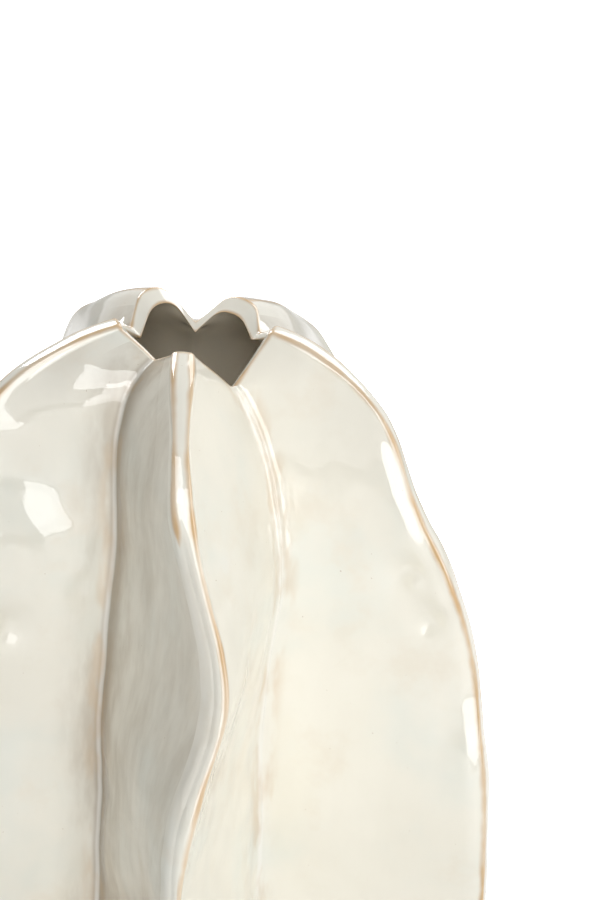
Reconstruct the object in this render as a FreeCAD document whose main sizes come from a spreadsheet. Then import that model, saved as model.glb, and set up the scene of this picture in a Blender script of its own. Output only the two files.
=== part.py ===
"""A five-finned stoneware fan vase, built as a potter builds it from slabs of clay.

Five wall slabs are each bent round one valley of the star, so every fin is two slabs pinched
together. A narrow edge band is luted over each fin's joint, and all of it stands on a floor slab.
Lengths are in millimetres and angles in degrees. +Z is up, the front fin points along -Y, and the
origin is where the vase's axis meets the table.
"""

import FreeCAD, Part

import math
import os

from FreeCAD import Vector

document = FreeCAD.newDocument("fan_vase")
sheet = document.addObject("Spreadsheet::Sheet", "sizes")

# Driving dimensions. Each fin and each valley adds its own below.
SIZES = {
    "vase_height": 348.0,
    "floor_thickness": 7.0,
    "foot_inset": 0.8,
    "wall_thickness": 4.2,
    "fin_reach": 129.0,
    "band_depth": 3.4,
    "band_narrowing": 0.9,
    "pinch_depth": 9.0,
    "hollow_end": 0.7,
    "lip_drop": 3.6,
    "crease_depth": 3.5,
    "slip_gap": 0.1,
}

# Each fin's compass direction and the form of its edge. The edge leans to one side, slants as it
# rises, and swings about that line, one wavelength from crest to crest. The shoulder is how much
# lower it runs before the rim. At the rim it ends rim_reach from the axis, rim_shift aside and
# rim_drop lower, and it is rim_width thick to each side.
FINS = {
    "front": {
        "angle": -90.0, "lean": 8.5, "slant_share": -0.03, "swing": 8.0, "wavelength": 150.0, "crest": 254.0,
        "shoulder": 0.0, "rim_reach": 32.5, "rim_shift": -3.6, "rim_width": 4.0,
        "rim_narrowing": 0.6, "rim_drop": 0.0, "rim_pinch": 5.0, "rim_hollow": 2.6,
    },
    "right": {
        "angle": -18.0, "lean": -7.0, "slant_share": 0.0, "swing": 4.0, "wavelength": 118.0, "crest": 236.0,
        "shoulder": 0.0, "rim_reach": 29.4, "rim_shift": 0.0, "rim_width": 4.2,
        "rim_narrowing": 0.6, "rim_drop": 0.0, "rim_pinch": 3.0, "rim_hollow": 1.6,
    },
    "back_right": {
        "angle": 54.0, "lean": -2.0, "slant_share": 0.0, "swing": 6.5, "wavelength": 140.0, "crest": 190.0,
        "shoulder": 4.6, "rim_reach": 30.2, "rim_shift": 0.8, "rim_width": 6.6,
        "rim_narrowing": 2.8, "rim_drop": 2.6, "rim_pinch": 8.0, "rim_hollow": 5.0,
    },
    "back_left": {
        "angle": 126.0, "lean": 2.0, "slant_share": 0.0, "swing": 6.0, "wavelength": 128.0, "crest": 228.0,
        "shoulder": 5.0, "rim_reach": 30.2, "rim_shift": -1.3, "rim_width": 5.9,
        "rim_narrowing": 2.6, "rim_drop": 0.0, "rim_pinch": 8.0, "rim_hollow": 5.0,
    },
    "left": {
        "angle": 198.0, "lean": 9.5, "slant_share": 0.0, "swing": 5.5, "wavelength": 136.0, "crest": 250.0,
        "shoulder": 0.0, "rim_reach": 29.4, "rim_shift": 0.0, "rim_width": 4.2,
        "rim_narrowing": 0.6, "rim_drop": 0.0, "rim_pinch": 3.5, "rim_hollow": 1.8,
    },
}

# The valley that follows each fin, anticlockwise from above: its direction, how far it turns at the
# rim, how far its bottom is from the axis at the belly and at the rim, how far the rim dips there,
# how much further out it is at the shoulder, and its own slow wave.
VALLEYS = {
    "front_right": {
        "angle": -43.5, "rim_turn": -9.5, "belly_reach": 48.0, "rim_reach": 24.5, "dip": 18.5,
        "shoulder": -8.5, "swing": 2.5, "wavelength": 128.0, "crest": 262.0,
    },
    "right": {
        "angle": 18.0, "rim_turn": 0.0, "belly_reach": 56.0, "rim_reach": 24.5, "dip": 8.5,
        "shoulder": -2.0, "swing": 1.5, "wavelength": 150.0, "crest": 210.0,
    },
    "back": {
        "angle": 90.0, "rim_turn": 0.0, "belly_reach": 54.0, "rim_reach": 18.0, "dip": 10.5,
        "shoulder": -2.0, "swing": 2.0, "wavelength": 140.0, "crest": 180.0,
    },
    "left": {
        "angle": 162.0, "rim_turn": 0.0, "belly_reach": 55.0, "rim_reach": 24.5, "dip": 10.0,
        "shoulder": -2.0, "swing": 1.5, "wavelength": 160.0, "crest": 240.0,
    },
    "front_left": {
        "angle": 229.5, "rim_turn": 6.0, "belly_reach": 42.0, "rim_reach": 24.5, "dip": 9.5,
        "shoulder": 2.0, "swing": 1.0, "wavelength": 150.0, "crest": 200.0,
    },
}

# The slabs' outlines, station by station from the floor to the rim. Each row gives shares: of the
# height above the floor, of the fin's reach, of the valley's reach, of the waves, of the rim's
# dip, of the edge band's depth, and of the shoulder's step.
STATION_SHARES = (
    (0.000, 0.501, 0.680, 0.00, 0.00, 1.00, 0.00),
    (0.030, 0.610, 0.740, 0.04, 0.00, 1.00, 0.00),
    (0.080, 0.727, 0.820, 0.14, 0.00, 1.00, 0.00),
    (0.140, 0.840, 0.890, 0.30, 0.00, 1.00, 0.00),
    (0.205, 0.929, 0.945, 0.52, 0.00, 1.00, 0.00),
    (0.270, 0.983, 0.975, 0.75, 0.00, 1.00, 0.00),
    (0.335, 1.003, 1.000, 0.90, 0.00, 1.00, 0.00),
    (0.400, 1.002, 1.000, 1.00, 0.00, 1.00, 0.00),
    (0.465, 0.992, 1.000, 1.00, 0.00, 1.00, 0.00),
    (0.530, 0.973, 1.000, 1.00, 0.00, 1.00, 0.00),
    (0.595, 0.946, 1.000, 1.00, 0.00, 1.00, 0.00),
    (0.655, 0.911, 1.000, 1.00, 0.00, 1.00, 0.00),
    (0.715, 0.862, 1.000, 1.00, 0.00, 1.00, 0.00),
    (0.775, 0.793, 1.000, 1.00, 0.01, 1.00, 0.00),
    (0.830, 0.719, 0.990, 0.95, 0.05, 1.00, 0.05),
    (0.880, 0.661, 0.960, 0.80, 0.14, 1.00, 0.35),
    (0.920, 0.612, 0.890, 0.65, 0.28, 1.00, 0.80),
    (0.950, 0.544, 0.800, 0.50, 0.46, 0.95, 1.00),
    (0.975, 0.446, 0.690, 0.35, 0.68, 0.85, 0.90),
    (0.992, 0.335, 0.570, 0.18, 0.90, 0.60, 0.45),
    (1.000, 0.228, 0.440, 0.05, 1.00, 0.40, 0.00),
)

# Where the poles of half a slab lie, as shares of the way from the valley to the fin's edge: on
# the outside, and on the inside, whose first stretch is pinched against the neighbouring slab.
OUTSIDE_SHARES = (1.0, 0.955, 0.905, 0.83, 0.71, 0.56, 0.40, 0.25, 0.13, 0.05, 0.0)
PINCHED_SHARES = (0.0, 0.5, 1.0)
INSIDE_SHARES = (1.0, 0.88, 0.70, 0.49, 0.31, 0.16, 0.06, 0.0)

# The flank's form: how sharp its valley is, how much it hollows towards the fin's edge, and how
# far from the valley it rolls over into the crease.
VALLEY_SHARPNESS_SHARE = 0.04
HOLLOW_SHARE = 0.1
CREASE_SHARE = 0.09

# How much sharper the waves' crests are than their troughs.
WAVE_PEAK_SHARE = 0.84


def enter(cell, alias, value):
    """Puts one size on the sheet, as a plain number with an alias."""
    sheet.set(cell, str(value))
    sheet.setAlias(cell, alias)


def fill_sheet():
    """Writes every driving dimension to the sheet, one row each."""
    rows = dict(SIZES)
    for name, fin in FINS.items():
        rows.update({f"{name}_fin_{size}": value for size, value in fin.items()})
    for name, valley in VALLEYS.items():
        rows.update({f"{name}_valley_{size}": value for size, value in valley.items()})
    for number, (alias, value) in enumerate(rows.items(), start=1):
        sheet.set(f"A{number}", alias)
        enter(f"B{number}", alias, value)
    document.recompute()


def size(alias):
    """A driving dimension, read from the sheet."""
    return float(getattr(sheet, alias))


def direction(azimuth):
    """The level unit vector that points along an azimuth."""
    return Vector(math.cos(math.radians(azimuth)), math.sin(math.radians(azimuth)), 0)


def across(azimuth):
    """The level unit vector a quarter turn anticlockwise of an azimuth."""
    return direction(azimuth + 90)


def station_height(station):
    """The height of a station's row of poles, before the rim's dip."""
    share = STATION_SHARES[station][0]
    return size("floor_thickness") + share * (size("vase_height") - size("floor_thickness"))


def toward_rim(station, below, rim):
    """A size that holds along most of the height and turns to another as the rim dips."""
    return below + STATION_SHARES[station][4] * (rim - below)


def swing_at(name, height):
    """How far along its swing the wave of a fin or a valley is at a height, from -1 to 1."""
    turn = 2 * math.pi * (height - size(f"{name}_crest")) / size(f"{name}_wavelength")
    trough = math.exp(-2 * WAVE_PEAK_SHARE)
    rise = math.exp(WAVE_PEAK_SHARE * (math.cos(turn) - 1))
    return 2 * (rise - trough) / (1 - trough) - 1


def edge_radius(fin, station):
    """How far the outside of a fin's edge is from the axis, before the wave."""
    reach = STATION_SHARES[station][1] * size("fin_reach")
    rim_step = size(f"{fin}_fin_rim_reach") - STATION_SHARES[-1][1] * size("fin_reach")
    return reach + STATION_SHARES[station][4] * rim_step


def edge_height(fin, station):
    """How high a station is at a fin's edge, which its shoulder and its rim lower."""
    lowered = STATION_SHARES[station][6] * size(f"{fin}_fin_shoulder")
    return station_height(station) - lowered - toward_rim(station, 0, size(f"{fin}_fin_rim_drop"))


def outward(fin, station):
    """The unit vector square to a fin's edge, in the fin's own upright plane."""
    last = len(STATION_SHARES) - 1
    if station == 0:
        return direction(size(f"{fin}_fin_angle"))
    below, above = station - 1, min(station + 1, last)
    rise = edge_height(fin, above) - edge_height(fin, below)
    run = edge_radius(fin, above) - edge_radius(fin, below)
    normal = direction(size(f"{fin}_fin_angle")) * rise + Vector(0, 0, -run)
    return normal.normalize()


def edge_point(fin, station):
    """The middle of a fin's outer edge, on the outside of its band."""
    azimuth = size(f"{fin}_fin_angle")
    height = edge_height(fin, station)
    line = size(f"{fin}_fin_lean") + size(f"{fin}_fin_slant_share") * (height - size(f"{fin}_fin_crest"))
    wave = line + size(f"{fin}_fin_swing") * swing_at(f"{fin}_fin", height)
    sideways = STATION_SHARES[station][3] * wave + toward_rim(station, 0, size(f"{fin}_fin_rim_shift"))
    level = direction(azimuth) * edge_radius(fin, station) + across(azimuth) * sideways
    return level + Vector(0, 0, height)


def half_width(fin, station):
    """How far each of a fin's two slabs stands out from the joint between them."""
    plain = size("wall_thickness") + size("slip_gap") / 2
    return toward_rim(station, plain, size(f"{fin}_fin_rim_width"))


def band_depth(station):
    """How far the edge band stands out from the slabs' ends."""
    return STATION_SHARES[station][5] * size("band_depth")


def joint_point(fin, station):
    """The middle of the joint where a fin's two slabs end, under the band."""
    return edge_point(fin, station) - outward(fin, station) * band_depth(station)


def flank_share(share):
    """How far out a flank has come, as a share, from the rounded valley to the fin's edge."""
    sharp = VALLEY_SHARPNESS_SHARE
    straight = (math.hypot(sharp, share) - sharp) / (math.hypot(sharp, 1) - sharp)
    return (1 - HOLLOW_SHARE) * straight + HOLLOW_SHARE * share**2


def flank_point(bottom, end, azimuth, share, crease):
    """A point on the way from a valley's creased bottom to a fin's edge, at the same station."""
    step = end - bottom
    outwards = direction(azimuth) * step.dot(direction(azimuth))
    sideways = across(azimuth) * step.dot(across(azimuth))
    level = bottom + sideways * share + outwards * flank_share(share)
    level -= direction(azimuth) * crease * max(0, 1 - share / CREASE_SHARE) ** 2
    return Vector(level.x, level.y, bottom.z + share * step.z)


def valley_azimuth(valley, station):
    """The compass direction of a valley's bottom, which turns a little towards the rim."""
    azimuth = size(f"{valley}_valley_angle")
    return toward_rim(station, azimuth, azimuth + size(f"{valley}_valley_rim_turn"))


def valley_point(valley, station, inwards, lowered):
    """The bottom of a valley, set inwards of its outside and lowered from it."""
    azimuth = valley_azimuth(valley, station)
    belly = size(f"{valley}_valley_belly_reach")
    rim_step = size(f"{valley}_valley_rim_reach") - STATION_SHARES[-1][2] * belly
    wave = size(f"{valley}_valley_swing") * swing_at(f"{valley}_valley", station_height(station))
    reach = STATION_SHARES[station][2] * belly + STATION_SHARES[station][4] * rim_step
    reach += STATION_SHARES[station][3] * wave
    reach += STATION_SHARES[station][6] * size(f"{valley}_valley_shoulder")
    height = station_height(station) - toward_rim(station, 0, size(f"{valley}_valley_dip"))
    level = direction(azimuth) * (reach - inwards)
    return level + Vector(0, 0, height - lowered)


def slab_row(valley, fins, station):
    """One station's poles round a wall slab: the outside row and the inside row."""
    azimuth = valley_azimuth(valley, station)
    drop = toward_rim(station, 0, size("lip_drop"))
    crease = STATION_SHARES[station][3] * size("crease_depth")
    outside_bottom = valley_point(valley, station, 0, 0)
    inside_bottom = valley_point(valley, station, size("wall_thickness"), drop)
    halves = []
    for fin, side in zip(fins, (1, -1)):
        joint = joint_point(fin, station)
        aside = across(size(f"{fin}_fin_angle")) * side
        pinch = toward_rim(station, size("pinch_depth"), size(f"{fin}_fin_rim_pinch"))
        hollow = toward_rim(station, size("hollow_end"), size(f"{fin}_fin_rim_hollow"))
        corner = joint + aside * half_width(fin, station)
        seam = joint + aside * (size("slip_gap") / 2)
        seam_end = seam - direction(size(f"{fin}_fin_angle")) * pinch - Vector(0, 0, drop)
        hollow_end = seam_end + aside * hollow
        outside = [
            flank_point(outside_bottom, corner, azimuth, share, crease) for share in OUTSIDE_SHARES
        ]
        inside = [
            flank_point(inside_bottom, hollow_end, azimuth, share, crease) for share in INSIDE_SHARES
        ]
        pinched = [seam + (seam_end - seam) * share for share in PINCHED_SHARES]
        halves.append((outside, pinched + inside))
    (outside_a, inside_a), (outside_b, inside_b) = halves
    return outside_a + outside_b[-2::-1], inside_a + inside_b[-2::-1]


def band_row(fin, station):
    """One station's poles of an edge band: its outer face's two corners and its inner face's."""
    aside = across(size(f"{fin}_fin_angle"))
    narrowing = toward_rim(station, size("band_narrowing"), size(f"{fin}_fin_rim_narrowing"))
    edge = edge_point(fin, station)
    seat = joint_point(fin, station) + outward(fin, station) * size("slip_gap")
    outer = aside * (half_width(fin, station) - narrowing)
    inner = aside * half_width(fin, station)
    return [edge - outer, edge + outer], [seat - inner, seat + inner]


def clamped_knots(poles, degree):
    """The evenly spaced knots, and how often each counts, of a spline that meets its end poles."""
    spans = poles - degree
    return list(range(spans + 1)), [degree + 1] + [1] * (spans - 1) + [degree + 1]


def spline_face(grid):
    """A smooth face that follows a grid of poles, straight across where the grid is two wide."""
    degree_u = min(3, len(grid) - 1)
    degree_v = min(3, len(grid[0]) - 1)
    knots_u, counts_u = clamped_knots(len(grid), degree_u)
    knots_v, counts_v = clamped_knots(len(grid[0]), degree_v)
    surface = Part.BSplineSurface()
    surface.buildFromPolesMultsKnots(
        grid, counts_u, counts_v, knots_u, knots_v, False, False, degree_u, degree_v
    )
    return surface.toShape()


def six_sided_solid(rows):
    """The solid between an outside and an inside grid of poles, given station by station."""
    outside = [list(column) for column in zip(*(row[0] for row in rows))]
    inside = [list(column) for column in zip(*(row[1] for row in rows))]
    faces = [
        spline_face(outside),
        spline_face(inside),
        spline_face([outside[0], inside[0]]),
        spline_face([outside[-1], inside[-1]]),
        spline_face([[a[0], b[0]] for a, b in zip(outside, inside)]),
        spline_face([[a[-1], b[-1]] for a, b in zip(outside, inside)]),
    ]
    shell = Part.makeShell(faces)
    shell.sewShape()
    solid = Part.makeSolid(shell)
    if solid.Volume < 0:
        solid.reverse()
    return solid


def add_piece(name, shape):
    """Puts a sculpted piece into the document."""
    piece = document.addObject("Part::Feature", name)
    piece.Label = name
    piece.Shape = shape
    piece.Placement = FreeCAD.Placement()
    return piece


def stations():
    """The number of every station, from the floor to the rim."""
    return range(len(STATION_SHARES))


def add_wall_slab(valley, fins):
    """A wall slab, bent round one valley, from the joint of one fin to the joint of the next."""
    rows = [slab_row(valley, fins, station) for station in stations()]
    return add_piece(f"wall_slab_{valley}", six_sided_solid(rows))


def add_edge_band(fin):
    """The narrow band of clay that covers the joint along a fin's edge."""
    rows = [band_row(fin, station) for station in stations()]
    return add_piece(f"edge_band_{fin}", six_sided_solid(rows))


def floor_outline():
    """The star that the walls and bands stand on, drawn in from them by the foot's inset."""
    inset = size("foot_inset")
    names = list(FINS)
    corners, flanks = {}, []
    for fin in names:
        out = direction(size(f"{fin}_fin_angle"))
        aside = across(size(f"{fin}_fin_angle"))
        (outer_a, outer_b), (inner_a, inner_b) = band_row(fin, 0)
        pulled = [outer_a - out * inset, outer_b - out * inset, inner_a, inner_b]
        pulled = [point + aside * inset * side for point, side in zip(pulled, (1, -1, 1, -1))]
        corners[fin] = [Vector(point.x, point.y, 0) for point in pulled]
    for number, valley in enumerate(VALLEYS):
        azimuth = valley_azimuth(valley, 0)
        bottom = valley_point(valley, 0, inset, size("floor_thickness"))
        end_a = corners[names[number]][3]
        end_b = corners[names[(number + 1) % len(names)]][2]
        half_a = [flank_point(bottom, end_a, azimuth, share, 0) for share in OUTSIDE_SHARES]
        half_b = [flank_point(bottom, end_b, azimuth, share, 0) for share in OUTSIDE_SHARES]
        poles = half_a + half_b[-2::-1]
        knots, counts = clamped_knots(len(poles), 3)
        curve = Part.BSplineCurve()
        curve.buildFromPolesMultsKnots(poles, counts, knots, False, 3)
        flanks.append(curve)
    tips = []
    for outer_a, outer_b, inner_a, inner_b in corners.values():
        tips.append(Part.LineSegment(inner_a, outer_a))
        tips.append(Part.LineSegment(outer_a, outer_b))
        tips.append(Part.LineSegment(outer_b, inner_b))
    return flanks + tips


def add_floor_slab():
    """The flat slab that closes the vase below: a padded sketch of the star."""
    body = document.addObject("PartDesign::Body", "floor_slab")
    body.Label = "floor_slab"
    plane = next(item for item in body.Origin.OriginFeatures if item.Role == "XY_Plane")
    sketch = body.newObject("Sketcher::SketchObject", "floor_star")
    sketch.AttachmentSupport = [(plane, "")]
    sketch.MapMode = "FlatFace"
    for curve in floor_outline():
        sketch.addGeometry(curve, False)
    pad = body.newObject("PartDesign::Pad", "floor_pad")
    pad.Profile = sketch
    pad.setExpression("Length", "sizes.floor_thickness")
    document.recompute()
    return body


def check(pieces):
    """Stops if any object failed to build, or any piece has no sound solid."""
    for item in document.Objects:
        if "Invalid" in item.State or "Error" in item.State:
            raise RuntimeError(f"{item.Label} did not build: {item.State}")
    for piece in pieces:
        shape = piece.Shape
        if shape.isNull() or not shape.isValid() or not shape.Solids or shape.Volume <= 0:
            raise RuntimeError(f"{piece.Label} has no sound solid")


def main():
    fill_sheet()
    fins = list(FINS)
    pieces = [add_floor_slab()]
    for number, valley in enumerate(VALLEYS):
        pieces.append(add_wall_slab(valley, (fins[number], fins[(number + 1) % len(fins)])))
    for fin in fins:
        pieces.append(add_edge_band(fin))
    document.recompute()
    check(pieces)
    os.makedirs("parts", exist_ok=True)
    for piece in pieces:
        piece.Shape.exportStep(f"parts/{piece.Label}.step")
        print(piece.Label, round(piece.Shape.Volume), "mm3")


main()
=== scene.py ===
"""The looks of the five-finned stoneware vase: its hand-shaped skin, its glaze, and a plain studio.

Lengths are in millimetres and angles in degrees, as in the part's source, and meshes turn them to
metres. +Z is up and the front fin points along -Y.
"""

import math

import bpy
import numpy as np
from mathutils import Matrix, Vector


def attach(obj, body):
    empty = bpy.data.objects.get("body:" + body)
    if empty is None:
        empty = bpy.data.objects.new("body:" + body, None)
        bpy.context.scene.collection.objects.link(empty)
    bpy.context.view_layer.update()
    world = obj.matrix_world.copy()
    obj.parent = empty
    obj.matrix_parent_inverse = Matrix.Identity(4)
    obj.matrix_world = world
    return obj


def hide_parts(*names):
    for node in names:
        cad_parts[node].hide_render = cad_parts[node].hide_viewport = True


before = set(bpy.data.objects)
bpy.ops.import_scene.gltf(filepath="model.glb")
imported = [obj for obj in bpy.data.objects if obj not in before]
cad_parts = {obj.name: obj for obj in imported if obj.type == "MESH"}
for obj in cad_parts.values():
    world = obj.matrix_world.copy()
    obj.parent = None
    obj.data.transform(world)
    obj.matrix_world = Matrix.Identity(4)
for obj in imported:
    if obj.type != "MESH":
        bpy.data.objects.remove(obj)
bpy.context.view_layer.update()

MM = 0.001

# Sizes of the vase.
VASE_HEIGHT = 348.0
FLOOR_THICKNESS = 7.0
WALL_THICKNESS = 4.2
FIN_REACH = 129.0
BAND_DEPTH = 3.4
BAND_NARROWING = 0.9
PINCH_DEPTH = 9.0
HOLLOW_END = 0.7
LIP_DROP = 3.6
CREASE_DEPTH = 3.5
SLIP_GAP = 0.1

# Each fin: its direction, and how its edge leans, slants and swings. Then where it ends at the rim.
FINS = {
    "front": {
        "angle": -90.0, "lean": 8.5, "slant": -0.03, "swing": 8.0, "wavelength": 150.0, "crest": 254.0,
        "shoulder": 0.0, "rim_reach": 32.5, "rim_shift": -3.6, "rim_width": 4.0,
        "rim_narrowing": 0.6, "rim_drop": 0.0, "rim_pinch": 5.0, "rim_hollow": 2.6, "rim_round": 1.3,
    },
    "right": {
        "angle": -18.0, "lean": -7.0, "slant": 0.0, "swing": 4.0, "wavelength": 118.0, "crest": 236.0,
        "shoulder": 0.0, "rim_reach": 29.4, "rim_shift": 0.0, "rim_width": 4.2,
        "rim_narrowing": 0.6, "rim_drop": 0.0, "rim_pinch": 3.0, "rim_hollow": 1.6, "rim_round": 2.4,
    },
    "back_right": {
        "angle": 54.0, "lean": -2.0, "slant": 0.0, "swing": 6.5, "wavelength": 140.0, "crest": 190.0,
        "shoulder": 4.6, "rim_reach": 30.2, "rim_shift": 0.8, "rim_width": 6.6,
        "rim_narrowing": 2.8, "rim_drop": 2.6, "rim_pinch": 8.0, "rim_hollow": 5.0, "rim_round": 5.0,
    },
    "back_left": {
        "angle": 126.0, "lean": 2.0, "slant": 0.0, "swing": 6.0, "wavelength": 128.0, "crest": 228.0,
        "shoulder": 5.0, "rim_reach": 30.2, "rim_shift": -1.3, "rim_width": 5.9,
        "rim_narrowing": 2.6, "rim_drop": 0.0, "rim_pinch": 8.0, "rim_hollow": 5.0, "rim_round": 5.0,
    },
    "left": {
        "angle": 198.0, "lean": 9.5, "slant": 0.0, "swing": 5.5, "wavelength": 136.0, "crest": 250.0,
        "shoulder": 0.0, "rim_reach": 29.4, "rim_shift": 0.0, "rim_width": 4.2,
        "rim_narrowing": 0.6, "rim_drop": 0.0, "rim_pinch": 3.5, "rim_hollow": 1.8, "rim_round": 2.0,
    },
}

# The valley that follows each fin, anticlockwise from above.
VALLEYS = {
    "front_right": {
        "angle": -43.5, "rim_turn": -9.5, "belly_reach": 48.0, "rim_reach": 24.5, "dip": 18.5,
        "shoulder": -8.5, "swing": 2.5, "wavelength": 128.0, "crest": 262.0,
    },
    "right": {
        "angle": 18.0, "rim_turn": 0.0, "belly_reach": 56.0, "rim_reach": 24.5, "dip": 8.5,
        "shoulder": -2.0, "swing": 1.5, "wavelength": 150.0, "crest": 210.0,
    },
    "back": {
        "angle": 90.0, "rim_turn": 0.0, "belly_reach": 54.0, "rim_reach": 18.0, "dip": 10.5,
        "shoulder": -2.0, "swing": 2.0, "wavelength": 140.0, "crest": 180.0,
    },
    "left": {
        "angle": 162.0, "rim_turn": 0.0, "belly_reach": 55.0, "rim_reach": 24.5, "dip": 10.0,
        "shoulder": -2.0, "swing": 1.5, "wavelength": 160.0, "crest": 240.0,
    },
    "front_left": {
        "angle": 229.5, "rim_turn": 6.0, "belly_reach": 42.0, "rim_reach": 24.5, "dip": 9.5,
        "shoulder": 2.0, "swing": 1.0, "wavelength": 150.0, "crest": 200.0,
    },
}

# Shares, station by station from the floor to the rim: of the height, of the fin's reach, of the
# valley's reach, of the waves, of the rim's dip, of the band's depth, and of the shoulder's step.
STATION_SHARES = np.array((
    (0.000, 0.501, 0.680, 0.00, 0.00, 1.00, 0.00),
    (0.030, 0.610, 0.740, 0.04, 0.00, 1.00, 0.00),
    (0.080, 0.727, 0.820, 0.14, 0.00, 1.00, 0.00),
    (0.140, 0.840, 0.890, 0.30, 0.00, 1.00, 0.00),
    (0.205, 0.929, 0.945, 0.52, 0.00, 1.00, 0.00),
    (0.270, 0.983, 0.975, 0.75, 0.00, 1.00, 0.00),
    (0.335, 1.003, 1.000, 0.90, 0.00, 1.00, 0.00),
    (0.400, 1.002, 1.000, 1.00, 0.00, 1.00, 0.00),
    (0.465, 0.992, 1.000, 1.00, 0.00, 1.00, 0.00),
    (0.530, 0.973, 1.000, 1.00, 0.00, 1.00, 0.00),
    (0.595, 0.946, 1.000, 1.00, 0.00, 1.00, 0.00),
    (0.655, 0.911, 1.000, 1.00, 0.00, 1.00, 0.00),
    (0.715, 0.862, 1.000, 1.00, 0.00, 1.00, 0.00),
    (0.775, 0.793, 1.000, 1.00, 0.01, 1.00, 0.00),
    (0.830, 0.719, 0.990, 0.95, 0.05, 1.00, 0.05),
    (0.880, 0.661, 0.960, 0.80, 0.14, 1.00, 0.35),
    (0.920, 0.612, 0.890, 0.65, 0.28, 1.00, 0.80),
    (0.950, 0.544, 0.800, 0.50, 0.46, 0.95, 1.00),
    (0.975, 0.446, 0.690, 0.35, 0.68, 0.85, 0.90),
    (0.992, 0.335, 0.570, 0.18, 0.90, 0.60, 0.45),
    (1.000, 0.228, 0.440, 0.05, 1.00, 0.40, 0.00),
))
RISE, EDGE, VALLEY, WAVE, DIP, BAND, STEP = STATION_SHARES.T
STATION_HEIGHTS = FLOOR_THICKNESS + RISE * (VASE_HEIGHT - FLOOR_THICKNESS)

# Every spline is cubic, and ends a hair before its last knot.
DEGREE = 3
LAST_SPAN = len(STATION_SHARES) - DEGREE
KNOT_GAP = 1e-9

# Where half a slab's poles lie, as shares of the way from the valley to the fin's edge.
OUTSIDE_SHARES = (1.0, 0.955, 0.905, 0.83, 0.71, 0.56, 0.40, 0.25, 0.13, 0.05, 0.0)
PINCHED_SHARES = (0.0, 0.5, 1.0)
INSIDE_SHARES = (1.0, 0.88, 0.70, 0.49, 0.31, 0.16, 0.06, 0.0)

# How sharply a valley bends, how hollow its sides are, how wide its crease is, and how far the fins'
# waves are peaked.
VALLEY_SHARPNESS = 0.04
HOLLOW_SHARE = 0.1
CREASE_SHARE = 0.09
WAVE_PEAK = 0.84

# How finely the skin is cut.
FLANK_COLUMNS = 141
ROWS = 201
CORNER_STEPS = 5
ARRIS_STEPS = 8
FACE_STEPS = 3
LIP_STEPS = 7
LIP_FACE_STEPS = 4

# How rounded its edges are.
CORNER_SPAN = 0.3
CORNER_END = 0.35
ARRIS_ROUND = 1.3
ARRIS_SIDE_LIMIT = 0.6
ARRIS_FACE_STRETCH = 1.1
ARRIS_FACE_LIMIT = 0.9
FACE_CROWN = 0.25
LIP_ROUND = 1.1
LIP_ROUND_LIMIT = 0.45
LIP_CROWN = 0.3

# How far the middle of a hidden cap sinks under its ring.
CAP_SINK = 2.5

# Where the inside meets the flanks and the fins' middles, as places along a slab's inside poles.
FLANK_PLACE = 1.9
EDGE_PLACE = 1.05
MIDDLE_PLACE = 1.0

# The clay's random relief: each wave's height, its length and its seed.
RELIEF_WAVES = ((0.85, 58.0, 11), (0.12, 17.0, 12))
WAVE_COUNT = 28
WAVE_STRETCH = (0.7, 1.5)
WAVE_SPREAD = 1.6

# Where the potter's fingers rounded the skin more: the fin, how many columns from its middle, how
# far that reaches before and after, how wide the rounding is, and the heights where it starts and
# is full. It is full within a third of its reach too, and takes in points up to three widths away.
ROUNDINGS = (
    ("back_left", 0, 80, 80, 13, 312.0, 334.0),
    ("back_right", 0, 80, 80, 13, 312.0, 334.0),
    ("front", -6, 34, 9, 9, 314.0, 292.0),
)
ROUNDING_CORE = 3
BLUR_REACH = 3

# The rounding of every valley's crease, full at every height of the vase, and the bead of glaze in
# the front right one.
CREASE_REACH = 24
CREASE_SPREAD = 5
CREASE_HEIGHTS = (2 * VASE_HEIGHT, VASE_HEIGHT)
BEAD_HEIGHT = 1.8
BEAD_SPREAD = 5

# Finger marks pressed into the front faces, or raised where the depth is below zero: the slab, how
# far across and how high, and each mark's radius and depth. Points that don't face the front are
# passed over.
FINGER_MARKS = (
    ("front_left", -60.0, 236.0, 5.5, 2.8),
    ("front_left", -40.0, 306.0, 10.0, 2.8),
    ("front_left", -56.0, 292.0, 9.0, 2.6),
    ("front_left", -42.0, 326.0, 9.0, -1.5),
    ("front_right", 81.0, 269.0, 6.2, 4.0),
    ("front_right", 84.0, 266.0, 2.8, -1.6),
    ("front_right", 90.0, 250.0, 5.2, 3.2),
)
FRONT_FACING = -0.5
OUT_OF_REACH = 1000.0

# How the right fin's front face falls away towards its edge, from below a height. The face's own
# direction is taken a few columns in from the edge.
EDGE_FALL = 1.2
EDGE_FALL_REACH = 3.2
EDGE_FALL_TOP = 325.0
EDGE_FALL_FADE = 15
EDGE_FALL_COLUMNS = 60
EDGE_FACE_COLUMN = 14

# How far the skin's distances to its lines are measured, in millimetres and in columns.
FAR = 40.0
EDGE_SEARCH = 30
VALLEY_SEARCH = 45

# The front fin's left arris line fades below the mouth: between which columns and heights, and how far.
FADED_COLUMNS = (-20, 8)
FADED_HEIGHTS = (306.0, 294.0)
FADED_BY = 4

# The painted shade in the valleys: darkest on the front fin's shaded flank, less elsewhere and not at all
# front right.
PAINTED_SHADE_EASE = 4
NO_PAINTED_SHADE = 95.0

# The rings of the floor slab, from the middle of its top to the middle of its underside: how far
# each lies inside the star, and its height.
FLOOR_RINGS = (
    (60, FLOOR_THICKNESS), (30, FLOOR_THICKNESS), (0.8, FLOOR_THICKNESS), (0.8, 5.0), (0.8, 2.4),
    (1.0, 1.3), (1.5, 0.5), (2.3, 0.0), (30, 0.0), (60, 0.0),
)
FLOOR_CORE_SHARE = 0.1
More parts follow.
